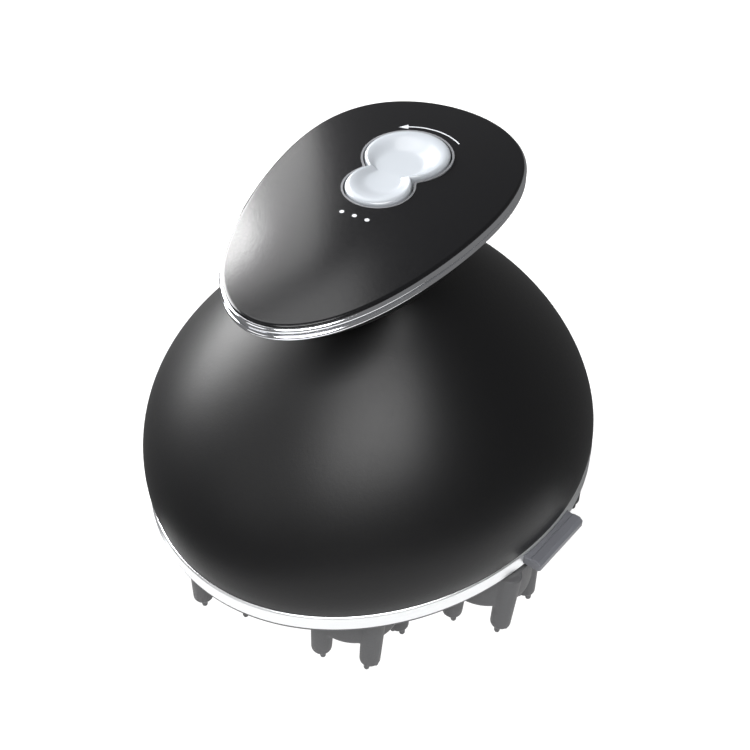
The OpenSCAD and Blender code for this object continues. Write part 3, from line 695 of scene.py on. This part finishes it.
def build_heads():
    """The ring of heads. All are turned alike, because their spindles share one gear."""
    shared = build_head_mesh()
    step = 360 / HEADS
    for i in range(HEADS):
        azimuth = math.radians(step / 2 + RING_TURN + step * i)
        piece = bpy.data.objects.new("head_skin_%d" % (i + 1), shared.copy())
        bpy.context.scene.collection.objects.link(piece)
        center = HEAD_RING * Vector((math.cos(azimuth), math.sin(azimuth), 0)) * MM
        piece.data.transform(Matrix.Translation(center)
                             @ Matrix.Rotation(math.radians(HEAD_TURN), 4, "Z"))
        dress(piece, "silicone_grey", "massage_head_%d" % (i + 1),
              "silicone_head_%d" % (i + 1))
    bpy.data.meshes.remove(shared)


build_heads()

# ---------------------------------------------------------------- floor, light and camera

FLOOR_Z = -HEAD_H * MM


def sheet(name, points, faces, color, glow):
    """A white sheet of the studio, glowing by itself. Points are in millimetres."""
    plane = mesh_object(name, points, faces)
    paint = surface(name, color=(color, color, color), roughness=0.8, mottle=0.01,
                    grain_depth=0.0, specular=0.0)
    paint.node_tree.nodes["Principled BSDF"].inputs["Emission Color"].default_value = (1, 1, 1, 1)
    paint.node_tree.nodes["Principled BSDF"].inputs["Emission Strength"].default_value = glow
    plane.data.materials.append(paint)
    return plane


def build_floor():
    """The pale floor and wall that the camera sees, and a white card that lights from below."""
    low, high, reach, sides = FLOOR_Z / MM, 4000, 3000, 48
    rim = [spoke(reach, t) for t in angles(sides)]
    floor = sheet("pale_floor", [(*p, low) for p in rim], [tuple(range(sides))], 0.28, 0.82)
    panels = [(i, (i + 1) % sides, sides + (i + 1) % sides, sides + i) for i in range(sides)]
    wall = sheet("pale_wall", [(*p, z) for z in (low, high) for p in rim], panels, 0.28, 0.95)
    for backdrop in (floor, wall):
        backdrop.visible_glossy = False
        backdrop.visible_diffuse = False
    wall.visible_shadow = False
    toward, aside = Vector((-0.866, -0.5)), Vector((0.5, -0.866))
    near, far, left, right = 20, 500, -90, 130
    corners = [(*(toward * out + aside * side), low)
               for out, side in ((near, left), (near, right), (far, right), (far, left))]
    card = sheet("white_card", corners, [(0, 1, 2, 3)], 0.5, 0.9)
    card.visible_camera = False


def area_light(name, azimuth, height, distance, size, power, target=(0, 0, 0.03)):
    """A soft panel at an azimuth and height in degrees, facing the target."""
    a, e = math.radians(azimuth), math.radians(height)
    away = Vector((math.cos(a) * math.cos(e), math.sin(a) * math.cos(e), math.sin(e)))
    lamp = bpy.data.lights.new(name, "AREA")
    lamp.shape = "RECTANGLE"
    lamp.size, lamp.size_y = size
    lamp.energy = power
    light = bpy.data.objects.new(name, lamp)
    light.location = Vector(target) + away * distance
    light.rotation_euler = away.to_track_quat("Z", "Y").to_euler()
    bpy.context.scene.collection.objects.link(light)


def build_light():
    """A dim even world and five soft panels."""
    world = bpy.data.worlds.new("studio")
    world.use_nodes = True
    back = world.node_tree.nodes["Background"]
    back.inputs["Color"].default_value = (1.0, 1.0, 1.0, 1)
    back.inputs["Strength"].default_value = 0.18
    bpy.context.scene.world = world
    area_light("back_panel", azimuth=79, height=28, distance=1.0, size=(0.9, 0.6), power=30)
    area_light("side_panel", azimuth=46, height=34, distance=1.0, size=(0.18, 0.5), power=1.0)
    area_light("top_panel", azimuth=55, height=63, distance=1.1, size=(0.6, 0.4), power=2.0)
    area_light("left_panel", azimuth=155, height=25, distance=1.0, size=(0.5, 0.4), power=0.8)
    area_light("front_panel", azimuth=-145, height=55, distance=1.0, size=(0.8, 0.5), power=13)


def build_camera():
    """The camera fitted to the photo: aim, distance and offsets in units of 60 mm."""
    azimuth, height, unit = math.radians(-149.865), math.radians(42.126), 0.060
    distance, side, rise = 5.146, 0.024, 0.286
    back = Vector((math.cos(azimuth) * math.cos(height), math.sin(azimuth) * math.cos(height),
                   math.sin(height)))
    right = Vector((-math.sin(azimuth), math.cos(azimuth), 0))
    up = back.cross(right)
    sensor, field = 36, math.radians(36)
    data = bpy.data.cameras.new("camera")
    data.sensor_width = sensor
    data.lens = sensor / 2 / math.tan(field / 2)
    camera = bpy.data.objects.new("camera", data)
    place = (back * distance + right * side + up * rise) * unit + Vector((0, 0, LIP_H * MM))
    camera.matrix_world = Matrix((
        (right.x, up.x, back.x, place.x),
        (right.y, up.y, back.y, place.y),
        (right.z, up.z, back.z, place.z),
        (0, 0, 0, 1)))
    bpy.context.scene.collection.objects.link(camera)
    bpy.context.scene.camera = camera


build_floor()
build_light()
build_camera()
bpy.context.scene.view_settings.view_transform = "Standard"
